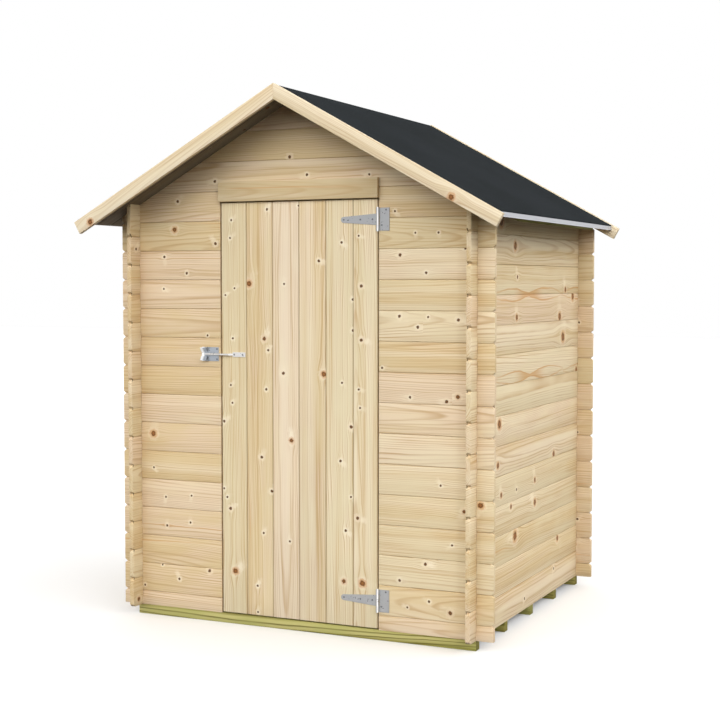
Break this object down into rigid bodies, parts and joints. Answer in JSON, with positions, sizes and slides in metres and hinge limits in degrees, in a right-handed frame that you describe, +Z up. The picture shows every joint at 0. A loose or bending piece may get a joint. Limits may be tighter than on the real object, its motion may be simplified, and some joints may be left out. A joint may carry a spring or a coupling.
{
  "type": "wooden garden shed",
  "caption": "Small gabled shed of interlocking horizontal boards with crossed corners, on timber bearers, with a hinged board door and a felted roof.",
  "frame": {"origin": "on the ground, under the middle of the roof", "axes": "+X to the right seen from the door side, +Y from front to back, +Z up"},
  "size_m": [1.87, 1.632, 2.176],
  "materials": {
    "bearer_timber": "rough sawn, green pressure treated",
    "floor_wood": "planed",
    "wall_wood": "planed spruce",
    "trim_wood": "planed spruce",
    "frame_wood": "planed spruce",
    "deck_wood": "planed spruce",
    "felt": "dark grey roofing felt",
    "drip_metal": "light grey",
    "green_batten": "green pressure treated",
    "door_wood": "planed spruce",
    "zinc": "zinc plated"
  },
  "bodies": {
    "shed": {"bearer_1": "bearer_timber", "bearer_2": "bearer_timber", "bearer_3": "bearer_timber", "bearer_4": "bearer_timber", "bearer_5": "bearer_timber", "floor_boards": "floor_wood", "front_wall_left": "wall_wood", "front_wall_right": "wall_wood", "front_gable": "wall_wood", "back_wall": "wall_wood", "left_wall": "wall_wood", "right_wall": "wall_wood", "door_lintel": "trim_wood", "front_bargeboard_left": "trim_wood", "front_bargeboard_right": "trim_wood", "back_bargeboard_left": "trim_wood", "back_bargeboard_right": "trim_wood", "door_post_left": "frame_wood", "door_post_right": "frame_wood", "door_head": "frame_wood", "ridge_purlin": "frame_wood", "roof_deck_left": "deck_wood", "roof_deck_right": "deck_wood", "roof_felt_left": "felt", "roof_felt_right": "felt", "drip_strip_left": "drip_metal", "drip_strip_right": "drip_metal", "eave_batten_left": "green_batten", "eave_batten_right": "green_batten", "hinge_plate_lower": "zinc", "hinge_plate_upper": "zinc", "latch_catch": "zinc"},
    "door": {"door_board_1": "door_wood", "door_board_2": "door_wood", "door_board_3": "door_wood", "door_board_4": "door_wood", "door_board_5": "door_wood", "door_board_6": "door_wood", "door_ledge_lower": "frame_wood", "door_ledge_upper": "frame_wood", "door_brace": "frame_wood", "hinge_strap_lower": "zinc", "hinge_strap_upper": "zinc", "latch_striker": "zinc"}
  },
  "joints": [
    {"name": "door_hinge", "type": "hinge", "parent": "shed", "child": "door", "pos_m": [0.354, -0.6205, 0.9], "axis": [0, 0, 1], "range_deg": [0, 145]}
  ]
}
